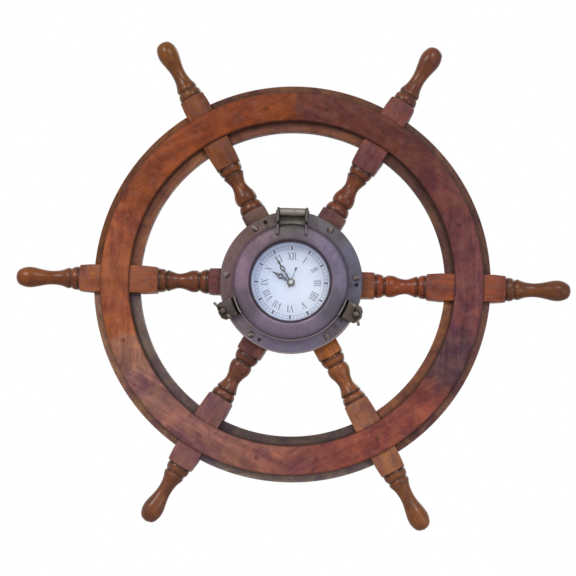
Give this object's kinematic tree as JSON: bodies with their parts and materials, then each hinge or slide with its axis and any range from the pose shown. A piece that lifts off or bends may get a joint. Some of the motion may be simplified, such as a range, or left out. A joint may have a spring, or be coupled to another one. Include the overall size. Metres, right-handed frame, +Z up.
{
  "type": "ship_wheel_wall_clock",
  "caption": "Wall clock shaped as a wooden ship's wheel with turned spokes and handles, its hub carrying a hinged porthole with wing screws over a Roman dial and a geared quartz movement.",
  "frame": {"origin": "centre of the hub's back face, on the wheel's axis and in the plane of the wall", "axes": "X across to the right as seen from the front, Y from the dial into the wall, Z up towards the hinge and twelve o'clock"},
  "size_m": [0.61, 0.0599, 0.531],
  "materials": {
    "rim_wood": "oiled, dry and slightly worn",
    "spoke_wood": "varnished, satin",
    "porthole_metal": "antique copper, satin",
    "fastener_metal": "antique brass, satin",
    "plated_steel": "plated",
    "seal_rubber": "matt black",
    "clear_glass": "clear, polished",
    "dial_paper": "cool white, printed in black",
    "hand_black": "black, satin",
    "brass": "turned",
    "case_plastic": "moulded black",
    "gear_plastic": "natural acetal",
    "cell_jacket": "printed sleeve",
    "board_laminate": "green solder mask"
  },
  "bodies": {
    "wheel": {"front_facing_1": "rim_wood", "rim_felloe_1": "rim_wood", "spoke_1": "spoke_wood", "flange_screw_1": "fastener_metal", "front_facing_2": "rim_wood", "rim_felloe_2": "rim_wood", "spoke_2": "spoke_wood", "flange_screw_2": "fastener_metal", "front_facing_3": "rim_wood", "rim_felloe_3": "rim_wood", "spoke_3": "spoke_wood", "flange_screw_3": "fastener_metal", "front_facing_4": "rim_wood", "rim_felloe_4": "rim_wood", "spoke_4": "spoke_wood", "flange_screw_4": "fastener_metal", "front_facing_5": "rim_wood", "rim_felloe_5": "rim_wood", "spoke_5": "spoke_wood", "flange_screw_5": "fastener_metal", "front_facing_6": "rim_wood", "rim_felloe_6": "rim_wood", "spoke_6": "spoke_wood", "flange_screw_6": "fastener_metal", "rear_facing_ring": "rim_wood", "hub": "rim_wood", "hanger_plate": "plated_steel", "porthole_base": "porthole_metal", "door_seal": "seal_rubber", "hinge_pin": "fastener_metal", "dial_pan": "plated_steel", "insert_grip_ring": "seal_rubber", "dial": "dial_paper", "bush_nut": "brass", "movement_case": "case_plastic", "movement_back": "case_plastic", "train_bridge": "gear_plastic", "battery": "cell_jacket", "contact_positive": "brass", "contact_negative": "brass", "circuit_board": "board_laminate", "coil": "brass", "stator": "plated_steel"},
    "door": {"porthole_door": "porthole_metal", "door_glass": "clear_glass", "glass_retainer": "porthole_metal"},
    "left_wing": {"wing_screw_left": "fastener_metal"},
    "right_wing": {"wing_screw_right": "fastener_metal"},
    "minute": {"minute_hand": "hand_black", "cannon_pinion": "gear_plastic"},
    "hour": {"hour_hand": "hand_black", "hour_wheel": "gear_plastic"},
    "motion": {"minute_wheel": "gear_plastic"},
    "setting": {"setting_knob": "case_plastic"},
    "second": {"second_hand": "hand_black", "seconds_wheel": "gear_plastic"},
    "third": {"third_wheel": "gear_plastic"},
    "centre": {"centre_wheel": "gear_plastic"},
    "idler": {"idler_wheel": "gear_plastic"},
    "rotor": {"rotor": "gear_plastic"}
  },
  "joints": [
    {"name": "door_hinge", "type": "hinge", "parent": "wheel", "child": "door", "pos_m": [0, -0.0475, 0.076], "axis": [-1, 0, 0], "range_deg": [0, 100]},
    {"name": "left_wing_turn", "type": "hinge", "parent": "door", "child": "left_wing", "pos_m": [-0.07251, -0.036, -0.03381], "axis": [0, 1, 0], "continuous": true},
    {"name": "right_wing_turn", "type": "hinge", "parent": "door", "child": "right_wing", "pos_m": [0.07251, -0.036, -0.03381], "axis": [0, 1, 0], "continuous": true},
    {"name": "minute_turn", "type": "hinge", "parent": "wheel", "child": "minute", "pos_m": [0, -0.036, 0], "axis": [0, 1, 0], "continuous": true},
    {"name": "hour_turn", "type": "hinge", "parent": "wheel", "child": "hour", "pos_m": [0, -0.036, 0], "axis": [0, 1, 0], "continuous": true},
    {"name": "motion_turn", "type": "hinge", "parent": "wheel", "child": "motion", "pos_m": [0.0036, -0.036, 0.00624], "axis": [0, 1, 0], "continuous": true},
    {"name": "setting_turn", "type": "hinge", "parent": "wheel", "child": "setting", "pos_m": [0.0072, -0.036, 0.01247], "axis": [0, 1, 0], "continuous": true},
    {"name": "second_turn", "type": "hinge", "parent": "wheel", "child": "second", "pos_m": [0, -0.036, 0], "axis": [0, 1, 0], "continuous": true},
    {"name": "third_turn", "type": "hinge", "parent": "wheel", "child": "third", "pos_m": [-0.00982, -0.036, 0.00567], "axis": [0, 1, 0], "continuous": true},
    {"name": "centre_turn", "type": "hinge", "parent": "wheel", "child": "centre", "pos_m": [0, -0.036, 0], "axis": [0, 1, 0], "continuous": true},
    {"name": "idler_turn", "type": "hinge", "parent": "wheel", "child": "idler", "pos_m": [0.00888, -0.036, -0.00323], "axis": [0, 1, 0], "continuous": true},
    {"name": "rotor_turn", "type": "hinge", "parent": "wheel", "child": "rotor", "pos_m": [0.01511, -0.036, 0.00037], "axis": [0, 1, 0], "continuous": true}
  ],
  "couplings": [
    {"joint": "hour_turn", "follows": "minute_turn", "ratio": 0.083333},
    {"joint": "motion_turn", "follows": "minute_turn", "ratio": -0.33333},
    {"joint": "setting_turn", "follows": "minute_turn", "ratio": 1},
    {"joint": "third_turn", "follows": "second_turn", "ratio": -0.13333},
    {"joint": "centre_turn", "follows": "second_turn", "ratio": 0.016667},
    {"joint": "idler_turn", "follows": "second_turn", "ratio": -6},
    {"joint": "rotor_turn", "follows": "second_turn", "ratio": 30}
  ]
}
